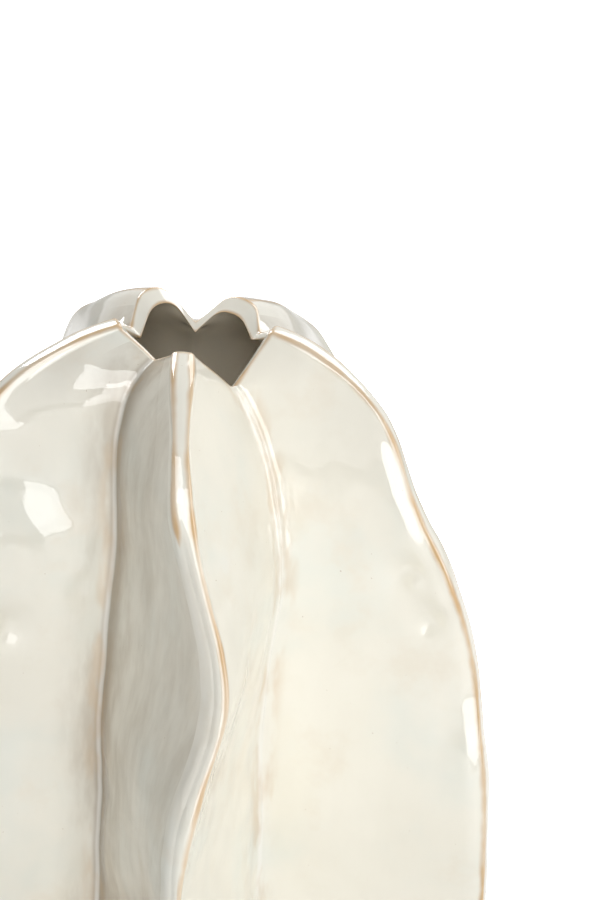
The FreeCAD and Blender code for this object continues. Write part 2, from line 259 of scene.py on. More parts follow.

# Colours of the glaze, of the shade and light painted on it, of the bare clay and of the studio.
CREAM = (0.845, 0.815, 0.715, 1.0)
POOL = (0.785, 0.79, 0.71, 1.0)
WARM = (0.80, 0.74, 0.62, 1.0)
SHADE = (0.47, 0.405, 0.31, 1.0)
DEEP_SHADE = (0.34, 0.28, 0.205, 1.0)
CREASE_HIGHLIGHT = (0.88, 0.86, 0.79, 1.0)
AMBER = (0.58, 0.375, 0.175, 1.0)
PAINTED_INSIDE_LIGHT = (0.93, 0.85, 0.70, 1.0)
BROWN = (0.33, 0.20, 0.10, 1.0)
DARK_CLAY = (0.62, 0.50, 0.36, 1.0)
PALE_CLAY = (0.74, 0.64, 0.50, 1.0)
FLOOR_WHITE = (0.955, 0.955, 0.955, 1.0)
FLOOR_BRIGHT = (0.965, 0.965, 0.965, 1.0)
WHITE = (1, 1, 1, 1)

# Random patterns: each one's scale, detail and roughness.
PATTERNS = {
    "cloud": (22.0, 3.0, 0.55), "stain": (34.0, 4.0, 0.6), "streak": (60.0, 4.0, 0.6),
    "wobble": (70.0, 2.0, 0.5), "thin": (38.0, 2.0, 0.5), "smudge": (90.0, 3.0, 0.6),
    "speck": (900.0, 1.0, 0.5), "dimple": (420.0, 2.0, 0.5), "sand": (900.0, 3.0, 0.6),
    "floor": (4.0, 1.0, 0.5),
}

# How a pattern or a distance in millimetres turns to a share: its two ends, and the share at each.
RAMPS = {
    "cloud": (0.45, 0.72, 0.0, 1.0), "stain": (0.52, 0.74, 0.0, 0.65), "streak": (0.36, 0.70, 0.2, 0.8),
    "painted_shade": (6.0, 80.0, 1.0, 0.06), "crease_shade": (1.5, 12.0, 0.7, 0.0), "crease_highlight": (0.4, 1.6, 0.6, 0.0),
    "thin": (0.35, 0.65, 0.6, 1.0), "edge_wobble": (0.3, 0.7, -0.3, 0.5), "edge": (0.1, 2.3, 1.0, 0.0),
    "lip_wobble": (0.3, 0.7, -0.2, 0.5), "lip": (0.1, 1.7, 1.0, 0.0), "smudge": (0.48, 0.66, 0.0, 0.34),
    "crease": (2.0, 8.0, 1.0, 0.0), "inside": (0.4, 3.0, 0.0, 1.0), "speck": (0.80, 0.84, 0.0, 0.55),
    "sand": (0.35, 0.65, 0.0, 1.0),
}
STREAK_SCALE = (1.0, 1.0, 0.3)
GLAZE_ROUGHNESS = 0.05
GLAZE_IOR = 1.75
DIMPLE_STRENGTH = 0.06
DIMPLE_DEPTH = 0.0004
CLAY_ROUGHNESS = 0.8
SAND_STRENGTH = 0.3
SAND_DEPTH = 0.0003

# The studio, in metres: its floor, the light that the floor and the world add where the camera sees
# them, the share of it that the glaze mirrors, and the world's light on the vase.
FLOOR_REACH = 6.0
FLOOR_ROUGHNESS = 0.9
FLOOR_LIFT_NEAR = 0.04
FLOOR_LIFT = 0.75
FLOOR_LIFT_FAR = 1.0
NEAR_RANGE = (0.14, 0.46)
FAR_RANGE = (0.42, 1.6)
MIRRORED_LIFT_SHARE = 0.25
WORLD_SEEN = 1.0
WORLD_LIT = 0.08

# The soft lights: each one's bearing from the front, elevation, distance, width, height and radiance.
# They face a spot on the vase's axis.
SOFTBOXES = {
    "front_softbox": (8, 14, 1.2, 0.64, 1.15, 3.25),
    "high_softbox": (-5, 44, 1.3, 0.46, 0.76, 3.1),
    "right_softbox": (76, 10, 1.5, 0.6, 1.5, 3.3),
    "back_left_softbox": (-150, 35, 1.3, 0.6, 0.6, 9.0),
    "back_right_softbox": (145, 40, 1.4, 0.8, 0.8, 4.2),
}
LIGHT_AIM = 0.3

# The camera: its elevation and tilt, its distance from the axis at the lip's height, its focal
# length in pixels, and where that spot on the axis lies in a picture of this size.
CAMERA_ELEVATION = 24.8
CAMERA_ROLL = 3.2
CAMERA_DISTANCE = 1200.0
CAMERA_FOCAL = 3336.0
PICTURE_SIZE = (600, 900)
AXIS_PIXEL = (196, 315)
SENSOR_SIZE = 36.0
CLIP_END = 50


def level(angle):
    """The level unit vector that points along an angle, or one for each angle of several."""
    turn = np.radians(angle)
    return np.stack([np.cos(turn), np.sin(turn), np.zeros_like(turn)], axis=-1)


def toward_rim(below, rim):
    """A size at every station, which holds along most of the height and changes as the rim dips."""
    return below + DIP * (rim - below)


def swing_at(form, height):
    """How far along its swing a wave is at each height, from -1 to 1."""
    turn = 2 * np.pi * (height - form["crest"]) / form["wavelength"]
    trough = math.exp(-2 * WAVE_PEAK)
    rise = np.exp(WAVE_PEAK * (np.cos(turn) - 1))
    return 2 * (rise - trough) / (1 - trough) - 1


def upright(height):
    """Upright vectors of the given lengths."""
    return height[:, None] * np.array([0.0, 0.0, 1.0])


def fin_lines(fin):
    """A fin's edge, its joint and its half widths at every station."""
    out, aside = level(fin["angle"]), level(fin["angle"] + 90)
    radius = EDGE * FIN_REACH + DIP * (fin["rim_reach"] - EDGE[-1] * FIN_REACH)
    height = STATION_HEIGHTS - STEP * fin["shoulder"] - DIP * fin["rim_drop"]
    line = fin["lean"] + fin["slant"] * (height - fin["crest"])
    sideways = WAVE * (line + fin["swing"] * swing_at(fin, height)) + DIP * fin["rim_shift"]
    edge = radius[:, None] * out + sideways[:, None] * aside + upright(height)
    above, below = np.append(np.arange(1, len(RISE)), len(RISE) - 1), np.arange(-1, len(RISE) - 1)
    below[0] = 0
    rise, run = height[above] - height[below], radius[above] - radius[below]
    rise[0], run[0] = 1.0, 0.0
    normal = rise[:, None] * out - upright(run)
    normal /= np.linalg.norm(normal, axis=1)[:, None]
    half = toward_rim(WALL_THICKNESS + SLIP_GAP / 2, fin["rim_width"])
    outer = half - toward_rim(BAND_NARROWING, fin["rim_narrowing"])
    joint = edge - normal * (BAND * BAND_DEPTH)[:, None]
    return {
        "out": out, "aside": aside, "edge": edge, "normal": normal, "joint": joint,
        "half": half[:, None], "outer": outer[:, None],
    }


def flank_poles(bottom, end, angle, shares):
    """The poles of half a slab, from the valley's bottom out to a fin's edge, share by share."""
    out, aside = level(angle), level(angle + 90)
    step = end - bottom
    outward = out * (step * out).sum(1)[:, None]
    sideways = aside * (step * aside).sum(1)[:, None]
    rows = []
    for share in shares:
        straight = math.hypot(VALLEY_SHARPNESS, share) - VALLEY_SHARPNESS
        straight /= math.hypot(VALLEY_SHARPNESS, 1) - VALLEY_SHARPNESS
        outwards = (1 - HOLLOW_SHARE) * straight + HOLLOW_SHARE * share**2
        point = bottom + sideways * share + outward * outwards
        point -= out * (WAVE * CREASE_DEPTH)[:, None] * max(0, 1 - share / CREASE_SHARE) ** 2
        point[:, 2] = bottom[:, 2] + share * step[:, 2]
        rows.append(point)
    return rows


def valley_angles(valley):
    """The direction of a valley's bottom at every station."""
    return toward_rim(valley["angle"], valley["angle"] + valley["rim_turn"])


def valley_line(valley, inwards, lowered):
    """The bottom of a valley at every station."""
    belly = valley["belly_reach"]
    reach = VALLEY * belly + DIP * (valley["rim_reach"] - VALLEY[-1] * belly)
    reach = reach + WAVE * valley["swing"] * swing_at(valley, STATION_HEIGHTS) + STEP * valley["shoulder"]
    height = STATION_HEIGHTS - DIP * valley["dip"] - lowered
    return (reach - inwards)[:, None] * level(valley_angles(valley)) + upright(height)


def slab_poles(valley, fins, lines):
    """The poles of a slab's outside and inside, columns first, from one fin's joint to the next's."""
    drop = DIP * LIP_DROP
    bottom = valley_line(valley, 0, 0)
    inside_bottom = valley_line(valley, WALL_THICKNESS, drop)
    halves = []
    for fin, line, side in zip(fins, lines, (1, -1)):
        aside = line["aside"] * side
        seam = line["joint"] + aside * SLIP_GAP / 2
        pinch = toward_rim(PINCH_DEPTH, fin["rim_pinch"])[:, None] * line["out"]
        seam_end = seam - pinch - upright(drop)
        hollow_end = seam_end + toward_rim(HOLLOW_END, fin["rim_hollow"])[:, None] * aside
        corner = line["joint"] + aside * line["half"]
        outside = flank_poles(bottom, corner, valley_angles(valley), OUTSIDE_SHARES)
        inside = flank_poles(inside_bottom, hollow_end, valley_angles(valley), INSIDE_SHARES)
        pinched = [seam + (seam_end - seam) * share for share in PINCHED_SHARES]
        halves.append((outside, pinched + inside))
    (outside_a, inside_a), (outside_b, inside_b) = halves
    return np.array(outside_a + outside_b[-2::-1]), np.array(inside_a + inside_b[-2::-1])


def spline_weights(count, places):
    """How much each pole of a clamped cubic spline counts at each place along it."""
    spans = count - DEGREE
    knots = np.concatenate([np.zeros(DEGREE), np.arange(spans + 1), np.full(DEGREE, spans)])
    places = np.clip(places, 0, spans - KNOT_GAP)[..., None]
    weights = ((places >= knots[:-1]) & (places < knots[1:])).astype(float)
    for degree in range(1, DEGREE + 1):
        start, end = knots[: -degree - 1], knots[degree + 1:]
        width_a = knots[degree:-1] - start
        width_b = end - knots[1:-degree]
        rise = (places - start) / np.where(width_a > 0, width_a, 1) * (width_a > 0)
        fall = (end - places) / np.where(width_b > 0, width_b, 1) * (width_b > 0)
        weights = rise * weights[..., :-1] + fall * weights[..., 1:]
    return weights


def rounded(start, corner, end, steps):
    """Points along a rounded corner, from its start to its end."""
    turns = np.linspace(0, 1, steps)
    return [start * (1 - t) ** 2 + corner * 2 * t * (1 - t) + end * t**2 for t in turns]


def half_edge(fin, line, side, flank):
    """The columns of half a fin's edge, from the flank over its arris to just short of the middle."""
    aside = line["aside"] * side
    corner = line["joint"] + aside * line["half"]
    arris = line["edge"] + aside * line["outer"]
    middle = line["edge"] + line["normal"] * FACE_CROWN
    side_length = np.linalg.norm(arris - corner, axis=1)
    rounding = toward_rim(ARRIS_ROUND, fin["rim_round"])
    up_side = np.minimum(rounding / side_length, ARRIS_SIDE_LIMIT)[:, None]
    over_face = np.minimum(rounding * ARRIS_FACE_STRETCH / line["outer"][:, 0], ARRIS_FACE_LIMIT)[:, None]
    columns = rounded(flank, corner, corner + (arris - corner) * CORNER_END, CORNER_STEPS)
    turn_end = arris + (middle - arris) * over_face
    columns += rounded(arris + (corner - arris) * up_side, arris, turn_end, ARRIS_STEPS)
    shares = np.linspace(0, 1, FACE_STEPS + 1)[1:-1]
    columns += [turn_end + (middle - turn_end) * share for share in shares]
    return columns


def skin_columns():
    """The poles of every column round the star, outside and inside, and what each column is."""
    names = list(FINS)
    lines = [fin_lines(FINS[name]) for name in names]
    slabs = []
    for number, valley in enumerate(VALLEYS.values()):
        follower = (number + 1) % len(names)
        pair = [FINS[names[number]], FINS[names[follower]]]
        slabs.append(slab_poles(valley, pair, [lines[number], lines[follower]]))
    half_count = CORNER_STEPS + ARRIS_STEPS + FACE_STEPS - 1
    count = len(slabs[0][0])
    span = count - DEGREE
    outside, inside, parts = [], [], []
    for number, name in enumerate(names):
        line, fin = lines[number], FINS[name]
        before, after = slabs[number - 1], slabs[number]
        sides = []
        for slab, side in ((before, -1), (after, 1)):
            place = CORNER_SPAN if side > 0 else span - CORNER_SPAN
            flank = np.tensordot(spline_weights(count, np.array(place)), slab[0], 1)
            columns = half_edge(fin, line, side, flank)
            places = np.linspace(FLANK_PLACE, EDGE_PLACE, half_count)
            places = places if side > 0 else span - places
            weights = spline_weights(count, places)
            sides.append((columns, [np.tensordot(row, slab[1], 1) for row in weights]))
        middles = []
        for slab, place in ((before, span - MIDDLE_PLACE), (after, MIDDLE_PLACE)):
            middles.append(np.tensordot(spline_weights(count, np.array(place)), slab[1], 1))
        start = len(outside)
        outside += sides[0][0] + [line["edge"] + line["normal"] * FACE_CROWN] + sides[1][0][::-1]
        inside += sides[0][1] + [(middles[0] + middles[1]) / 2] + sides[1][1][::-1]
        parts.append({"fin": name, "start": start, "middle": start + half_count, "end": len(outside) - 1})
        places = np.linspace(CORNER_SPAN, span - CORNER_SPAN, FLANK_COLUMNS)[1:-1]
        outside += [np.tensordot(row, after[0], 1) for row in spline_weights(count, places)]
        inner_places = np.linspace(FLANK_PLACE, span - FLANK_PLACE, FLANK_COLUMNS)[1:-1]
        inside += [np.tensordot(row, after[1], 1) for row in spline_weights(count, inner_places)]
    return np.array(outside), np.array(inside), parts


def along_column(poles, places):
    """Points along each column's spline, at that column's own places."""
    weights = spline_weights(poles.shape[1], places)
    return np.einsum("crp,cpx->rcx", weights, poles)


def skin_points(outside, inside):
    """The grid of the whole skin: up the outside, over the lip and down the inside."""
    lip_out, lip_in = outside[:, -1], inside[:, -1]
    width = np.linalg.norm(lip_in - lip_out, axis=1)
    over_lip = np.minimum(LIP_ROUND / width, LIP_ROUND_LIMIT)[:, None]
    walls = []
    for poles in (outside, inside):
        speed = DEGREE * np.linalg.norm(poles[:, -1] - poles[:, -2], axis=1)
        ends = LAST_SPAN - LIP_ROUND / speed
        places = np.linspace(0, 1, ROWS)[None, :] * ends[:, None]
        walls.append(along_column(poles, places))
    turn_out = rounded(walls[0][-1], lip_out, lip_out + (lip_in - lip_out) * over_lip, LIP_STEPS)
    turn_in = rounded(lip_in + (lip_out - lip_in) * over_lip, lip_in, walls[1][-1], LIP_STEPS)
    shares = np.linspace(0, 1, LIP_FACE_STEPS + 1)[1:-1]
    face = [turn_out[-1] + (turn_in[0] - turn_out[-1]) * share for share in shares]
    lip = np.array(turn_out[1:] + face + turn_in[:-1])
    crown = np.sin(np.linspace(0, np.pi, len(lip) + 2))[1:-1]
    lip[:, :, 2] += LIP_CROWN * crown[:, None]
    return np.concatenate([walls[0], lip, walls[1][::-1]])


def random_waves(points, wavelength, seed):
    """A smooth random value at each point, about -1 to 1, with ripples of about one wavelength."""
    random = np.random.default_rng(seed)
    value = np.zeros(points.shape[:-1])
    for _ in range(WAVE_COUNT):
        direction = random.normal(size=3)
        direction *= random.uniform(*WAVE_STRETCH) / np.linalg.norm(direction)
        value += np.cos(points @ direction * 2 * np.pi / wavelength + random.uniform(0, 2 * np.pi))
    return value * math.sqrt(2 / WAVE_COUNT) / WAVE_SPREAD


def grid_normals(points):
    """The unit normal at each point of the skin, facing out of the clay."""
    along = np.gradient(points, axis=0)
    around = np.roll(points, -1, axis=1) - np.roll(points, 1, axis=1)
    normals = np.cross(around, along)
    return normals / np.linalg.norm(normals, axis=-1)[..., None]


def eased(value, start, end):
    """How far a value has come from a start to an end, eased, from 0 to 1."""
    share = np.clip((value - start) / (end - start), 0, 1)
    return share**2 * (3 - 2 * share)


def round_over(points, middle, before, after, spread, start, full):
    """Rounds the skin across some columns, more and more between two heights."""
    offsets = np.arange(-before, after + 1)
    columns = (middle + offsets) % points.shape[1]
    steps = np.arange(-BLUR_REACH * spread, BLUR_REACH * spread + 1)
    weights = np.exp(-0.5 * (steps / spread) ** 2)
    weights /= weights.sum()
    blurred = sum(w * points[:, (columns + step) % points.shape[1]] for w, step in zip(weights, steps))
    rise = eased(offsets, -before, -before / ROUNDING_CORE)
    fall = eased(offsets, after, after / ROUNDING_CORE)
    share = eased(points[:, columns, 2], start, full) * np.minimum(rise, fall)
    points[:, columns] += (blurred - points[:, columns]) * share[..., None]


def press_mark(points, normals, part, across, height, radius, depth):
    """Presses one finger mark into the front of a slab, or raises one."""
    columns = (part["end"] + np.arange(FLANK_COLUMNS)) % points.shape[1]
    near = points[:ROWS, columns]
    gap = np.hypot(near[..., 0] - across, near[..., 2] - height)
    gap[normals[:ROWS, columns, 1] > FRONT_FACING] = OUT_OF_REACH
    row, place = np.unravel_index(np.argmin(gap), gap.shape)
    facing = normals[row, columns[place]]
    distance = np.linalg.norm(points[:ROWS] - near[row, place], axis=-1)
    push = depth * np.exp(-0.5 * (distance / radius) ** 2) * np.clip(normals[:ROWS] @ facing, 0, 1)
    points[:ROWS] -= facing * push[..., None]


def soften_edge(points, normals, part):
    """Lets the front face of a fin fall away a little towards its edge."""
    arris = part["start"] + CORNER_STEPS
    width = 2 * (part["middle"] - arris)
    face_normal = normals[:SPLIT_ROW, arris - EDGE_FACE_COLUMN]
    for step in range(-EDGE_FALL_COLUMNS, width + 1):
        column = (arris + step) % points.shape[1]
        gap = np.linalg.norm(points[:SPLIT_ROW, column] - points[:SPLIT_ROW, arris], axis=1)
        share = np.exp(-(gap / EDGE_FALL_REACH) ** 2) if step < 0 else 1 - step / width
        height = points[:SPLIT_ROW, column, 2]
        fall = EDGE_FALL * share * eased(height, EDGE_FALL_TOP, EDGE_FALL_TOP - EDGE_FALL_FADE)
        points[:SPLIT_ROW, column] -= face_normal * fall[:, None]


SPLIT_ROW = ROWS - 1 + LIP_STEPS - 1
outside_poles, inside_poles, fin_parts = skin_columns()
smooth_points = skin_points(outside_poles, inside_poles)
row_count, column_count = smooth_points.shape[:2]
fin_part = {part["fin"]: part for part in fin_parts}
slab_part = dict(zip(VALLEYS, fin_parts))
for fin_name, offset, *rounding in ROUNDINGS:
    round_over(smooth_points, fin_part[fin_name]["middle"] + offset, *rounding)
for part in fin_parts:
    crease = part["end"] + FLANK_COLUMNS // 2
    round_over(smooth_points, crease, CREASE_REACH, CREASE_REACH, CREASE_SPREAD, *CREASE_HEIGHTS)
smooth_normals = grid_normals(smooth_points)
relief = sum(height * random_waves(smooth_points, *wave) for height, *wave in RELIEF_WAVES)
skin = smooth_points + smooth_normals * relief[..., None]
bead_middle = slab_part["front_right"]["end"] + FLANK_COLUMNS // 2
bead = BEAD_HEIGHT * np.exp(-0.5 * ((np.arange(column_count) - bead_middle) / BEAD_SPREAD) ** 2)
skin[:ROWS] += smooth_normals[:ROWS] * bead[:, None]
for slab_name, *mark in FINGER_MARKS:
    press_mark(skin, smooth_normals, slab_part[slab_name], *mark)
soften_edge(skin, smooth_normals, fin_part["right"])
skin[0, :, 2] = FLOOR_THICKNESS
skin[-1, :, 2] = FLOOR_THICKNESS
skin_normals = grid_normals(skin)


def distances():
    """Each point's distance to an edge line, the lip and a valley, its painted shade, and its depth
    inside.
    """
    edge = np.full((row_count, column_count), FAR)
    arris_middle = CORNER_STEPS + ARRIS_STEPS // 2
    for part in fin_parts:
        for line in (part["start"] + arris_middle, part["end"] - arris_middle):
            for step in range(-EDGE_SEARCH, EDGE_SEARCH + 1):
                column = (line + step) % column_count
                gap = np.linalg.norm(skin[:, column] - skin[:, line % column_count], axis=1)
                edge[:, column] = np.minimum(edge[:, column], gap)
    steps = np.linalg.norm(np.diff(skin, axis=0), axis=2)
    travelled = np.concatenate([np.zeros((1, column_count)), np.cumsum(steps, axis=0)])
    lip_a = travelled[ROWS - 1 + LIP_STEPS // 2]
    lip_b = travelled[-ROWS - LIP_STEPS // 2]
    lip = np.minimum(np.abs(travelled - lip_a), np.abs(travelled - lip_b))
    inside = np.maximum(travelled - lip_b, 0)
    valley = np.full((row_count, column_count), FAR)
    for part in fin_parts:
        line = part["end"] + (FLANK_COLUMNS - 1) // 2
        for step in range(-VALLEY_SEARCH, VALLEY_SEARCH + 1):
            column = (line + step) % column_count
            gap = np.linalg.norm(skin[:, column] - skin[:, line % column_count], axis=1)
            valley[:, column] = np.minimum(valley[:, column], gap)
    faded = fin_part["front"]["start"] + arris_middle
    columns = (faded + np.arange(*FADED_COLUMNS)) % column_count
    edge[:SPLIT_ROW, columns] += FADED_BY * eased(skin[:SPLIT_ROW, columns, 2], *FADED_HEIGHTS)
    edge[SPLIT_ROW:] = FAR
    valley[ROWS:] = FAR
    # How much painted shade each point takes: more near a valley, most on the front fin's shaded flank.
    painted_shade = valley * PAINTED_SHADE_EASE
    bright = (slab_part["front_right"]["end"] + np.arange(FLANK_COLUMNS)) % column_count
    painted_shade[:, bright] = NO_PAINTED_SHADE
    shaded = (slab_part["front_left"]["end"] + np.arange(FLANK_COLUMNS // 2, FLANK_COLUMNS)) % column_count
    painted_shade[:, shaded] = valley[:, shaded]
    return {
        "edge_line": edge, "lip_line": lip, "valley_line": valley, "painted_shade_line": painted_shade,
        "inside_depth": inside,
    }


skin_values = distances()


class Piece:
    """A closed mesh cut from the skin."""

    def __init__(self):
        self.numbers = {}
        self.spots = []
        self.hubs = []
        self.faces = []

    def point(self, row, column):
        """The number of a point of the skin in this piece."""
        spot = (row % row_count, column % column_count)
        if spot not in self.numbers:
            self.numbers[spot] = len(self.spots)
            self.spots.append(spot)
        return self.numbers[spot]

    def face(self, *spots):
        """A face through points of the skin, once each."""
        numbers = list(dict.fromkeys(self.point(*spot) for spot in spots))
        if len(numbers) > 2:
            self.faces.append(numbers)

    def sunk_cap(self, spots):
        """Hidden faces that close a ring of points of the skin, drawn down to a hub under it."""
        ring = np.array([skin[row % row_count, column % column_count] for row, column in spots])
        self.hubs.append((ring.mean(axis=0) - (0, 0, CAP_SINK), spots))

    def sheet(self, rows, columns):
        """The faces between some rows and some columns, facing out."""
        for row in range(rows[0], rows[1]):
            for column in range(columns[0], columns[1]):
                self.face((row, column), (row, column + 1), (row + 1, column + 1), (row + 1, column))

    def build(self, name, node, slot, material):
        """Makes the mesh, fixes it to the vase's body and hides the part of the model that it replaces."""
        for number, (_, ring) in enumerate(self.hubs):
            for spot, follower in zip(ring, ring[1:] + ring[:1]):
                self.faces.append([self.point(*spot), self.point(*follower), -1 - number])
        spots = np.array(self.spots + [ring[0] for _, ring in self.hubs]) % (row_count, column_count)
        points = skin[spots[:, 0], spots[:, 1]]
        for number, (hub, _) in enumerate(self.hubs):
            points[len(self.spots) + number] = hub
        mesh = bpy.data.meshes.new(name)
        faces = [[n if n >= 0 else len(self.spots) - 1 - n for n in face] for face in self.faces]
        mesh.from_pydata((points * MM).tolist(), [], faces)
        for key, values in skin_values.items():
            layer = mesh.attributes.new(key, "FLOAT", "POINT")
            layer.data.foreach_set("value", values[spots[:, 0], spots[:, 1]].astype(np.float32))
        mesh.polygons.foreach_set("use_smooth", [True] * len(mesh.polygons))
        mesh.normals_split_custom_set_from_vertices(skin_normals[spots[:, 0], spots[:, 1]].tolist())
        mesh.materials.append(material)
        piece = bpy.data.objects.new(name, mesh)
        bpy.context.scene.collection.objects.link(piece)
        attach(piece, "root")
        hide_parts(node)


def wall_piece(number):
    """A wall slab: its outside up to the bands, its part of the lip, its inside, and its hidden ends."""
    piece = Piece()
    part, follower = fin_parts[number], fin_parts[(number + 1) % len(fin_parts)]
    turn = column_count if follower["start"] < part["start"] else 0
    start, end = part["end"] - CORNER_STEPS // 2, follower["start"] + turn + CORNER_STEPS // 2
    seam_a, seam_b = part["middle"], follower["middle"] + turn
    last = row_count - 1
    piece.sheet((0, SPLIT_ROW), (start, end))
    piece.sheet((SPLIT_ROW, last), (seam_a, seam_b))
    for corner, seam, side in ((start, seam_a, 1), (end, seam_b, -1)):
        for row in range(ROWS - 1):
            ring = [(row, corner), (row + 1, corner), (last - row - 1, seam), (last - row, seam)]
            piece.face(*ring[::side])
        top = [(row, corner) for row in range(ROWS - 1, SPLIT_ROW + 1)]
        top += [(SPLIT_ROW, column) for column in range(corner - side, seam, -side)]
        top += [(row, seam) for row in range(SPLIT_ROW, row_count - ROWS + 1)]
        piece.sunk_cap(top[::side])
        under = [(0, corner), (last, seam)]
        under += [(last, column) for column in range(seam + side, corner + side, side)]
        piece.face(*under[::side])
    for column in range(start, end):
        piece.face((last, column), (last, column + 1), (0, column + 1), (0, column))
    return piece


def band_piece(number):
    """An edge band: its outside, its part of the lip, and a flat back."""
    piece = Piece()
    part = fin_parts[number]
    start, end = part["start"] + CORNER_STEPS // 2, part["end"] - CORNER_STEPS // 2
    piece.sheet((0, SPLIT_ROW), (start, end))
    for row in range(SPLIT_ROW):
        piece.face((row, end), (row, start), (row + 1, start), (row + 1, end))
    piece.sunk_cap([(SPLIT_ROW, column) for column in range(start, end + 1)])
    piece.face(*[(0, column) for column in range(end, start - 1, -1)])
    return piece


def floor_piece(material):
    """The floor slab: the foot's star with a softened lower edge."""
    star = skin[0]
    rings = []
    reach = np.linalg.norm(star[:, :2], axis=1)[:, None]
    for inset, height in FLOOR_RINGS:
        ring = star[:, :2] * np.maximum(1 - inset / reach, FLOOR_CORE_SHARE)
        rings.append(np.column_stack([ring, np.full(column_count, height)]))
    points = np.concatenate(rings + [[[0, 0, FLOOR_THICKNESS], [0, 0, 0]]])
    faces = []
    top, under = len(points) - 2, len(points) - 1
    last = (len(rings) - 1) * column_count
    for column in range(column_count):
        follower = (column + 1) % column_count
        faces.append((top, column, follower))
        faces.append((under, last + follower, last + column))
        for ring in range(len(rings) - 1):
            upper, lower = ring * column_count, (ring + 1) * column_count
            faces.append((upper + column, lower + column, lower + follower, upper + follower))
    mesh = bpy.data.meshes.new("foot_floor")
    mesh.from_pydata((points * MM).tolist(), [], faces)
    mesh.materials.append(material)
    piece = bpy.data.objects.new("foot_floor", mesh)
    bpy.context.scene.collection.objects.link(piece)
    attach(piece, "root")
    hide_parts("floor_slab")


class Nodes:
    """Short ways to add shader nodes to a material or a world."""

    def __init__(self, owner):
        owner.use_nodes = True
        self.tree = owner.node_tree
        self.tree.nodes.clear()

    def add(self, kind, settings=None, **inputs):
        """A node with its settings, whose inputs take numbers, colours or other nodes' outputs."""
        node = self.tree.nodes.new(kind)
        for key, value in (settings or {}).items():
            setattr(node, key, value)
        for key, value in inputs.items():
            numbered = key[0] == "i" and key[1:].isdigit()
            socket = node.inputs[int(key[1:]) if numbered else key.replace("_", " ")]
            if isinstance(value, bpy.types.NodeSocket):
                self.tree.links.new(value, socket)
            else:
                socket.default_value = value
        return node

    def math(self, operation, a, b=0.0):
        """The outcome of one sum."""
        return self.add("ShaderNodeMath", {"operation": operation}, i0=a, i1=b).outputs[0]

    def ramp(self, value, low, high, start, end):
        """A value eased from start to end as another goes from low to high."""
        settings = {"interpolation_type": "SMOOTHSTEP"}
        node = self.add("ShaderNodeMapRange", settings, i0=value, i1=low, i2=high, i3=start, i4=end)
        return node.outputs[0]

    def mix(self, share, a, b):
        """One colour turned to another by a share."""
        node = self.add("ShaderNodeMix", {"data_type": "RGBA"}, i0=share, i6=a, i7=b)
        return node.outputs[2]

    def pattern(self, place, name):
        """Smooth random values from 0 to 1."""
        scale, detail, roughness = PATTERNS[name]
        node = self.add(
            "ShaderNodeTexNoise", None, Vector=place, Scale=scale, Detail=detail, Roughness=roughness,
        )
        return node.outputs["Fac"]

    def value(self, name):
        """One of the skin's own values, in millimetres."""
        return self.add("ShaderNodeAttribute", {"attribute_name": name}).outputs["Fac"]

    def bump(self, height, strength, depth):
        """A slight unevenness of the surface."""
        node = self.add("ShaderNodeBump", None, Strength=strength, Distance=depth, Height=height)
        return node.outputs["Normal"]


def glaze_material():
    """A glossy cream glaze that breaks to amber-brown where it runs thin over an edge."""
    material = bpy.data.materials.new("cream_glaze")
    nodes = Nodes(material)
    place = nodes.add("ShaderNodeTexCoord").outputs["Object"]
    cloud = nodes.ramp(nodes.pattern(place, "cloud"), *RAMPS["cloud"])
    colour = nodes.mix(cloud, CREAM, POOL)
    stain = nodes.ramp(nodes.pattern(place, "stain"), *RAMPS["stain"])
    colour = nodes.mix(stain, colour, WARM)
    tall = nodes.add("ShaderNodeMapping", None, Vector=place, Scale=STREAK_SCALE).outputs[0]
    streak = nodes.ramp(nodes.pattern(tall, "streak"), *RAMPS["streak"])
    # Painted shade: random tall streaks of dark brown-grey, weighted to the valleys and most on the front
    # fin's shaded flank.
    painted_shade = nodes.ramp(nodes.value("painted_shade_line"), *RAMPS["painted_shade"])
    colour = nodes.mix(nodes.math("MULTIPLY", streak, painted_shade), colour, SHADE)
    # Painted shade: a deeper brown in the bottom of each crease, wider on the front fin's shaded flank,
    # none front right.
    crease_shade = nodes.ramp(nodes.value("painted_shade_line"), *RAMPS["crease_shade"])
    colour = nodes.mix(crease_shade, colour, DEEP_SHADE)
    # Painted highlight: a thin pale line along the bottom of every crease.
    crease_highlight = nodes.ramp(nodes.value("valley_line"), *RAMPS["crease_highlight"])
    colour = nodes.mix(crease_highlight, colour, CREASE_HIGHLIGHT)
    wobble = nodes.pattern(place, "wobble")
    thin = nodes.ramp(nodes.pattern(place, "thin"), *RAMPS["thin"])
    for line in ("edge", "lip"):
        shift = nodes.ramp(wobble, *RAMPS[f"{line}_wobble"])
        distance = nodes.math("ADD", nodes.value(f"{line}_line"), shift)
        share = nodes.math("MULTIPLY", nodes.ramp(distance, *RAMPS[line]), thin)
        colour = nodes.mix(share, colour, AMBER)
    smudge = nodes.ramp(nodes.pattern(tall, "smudge"), *RAMPS["smudge"])
    crease = nodes.ramp(nodes.value("valley_line"), *RAMPS["crease"])
    colour = nodes.mix(nodes.math("MULTIPLY", crease, smudge), colour, AMBER)
    # Painted light: past the lip the inside turns a lighter, warmer cream than the glaze outside.
    inside = nodes.ramp(nodes.value("inside_depth"), *RAMPS["inside"])
    colour = nodes.mix(inside, colour, PAINTED_INSIDE_LIGHT)
    speck = nodes.ramp(nodes.pattern(place, "speck"), *RAMPS["speck"])
    colour = nodes.mix(speck, colour, BROWN)
    dimples = nodes.bump(nodes.pattern(place, "dimple"), DIMPLE_STRENGTH, DIMPLE_DEPTH)
    shader = nodes.add(
        "ShaderNodeBsdfPrincipled", None, Base_Color=colour, Roughness=GLAZE_ROUGHNESS, IOR=GLAZE_IOR,
        Normal=dimples,
    )
    nodes.add("ShaderNodeOutputMaterial", None, Surface=shader.outputs[0])
    return material


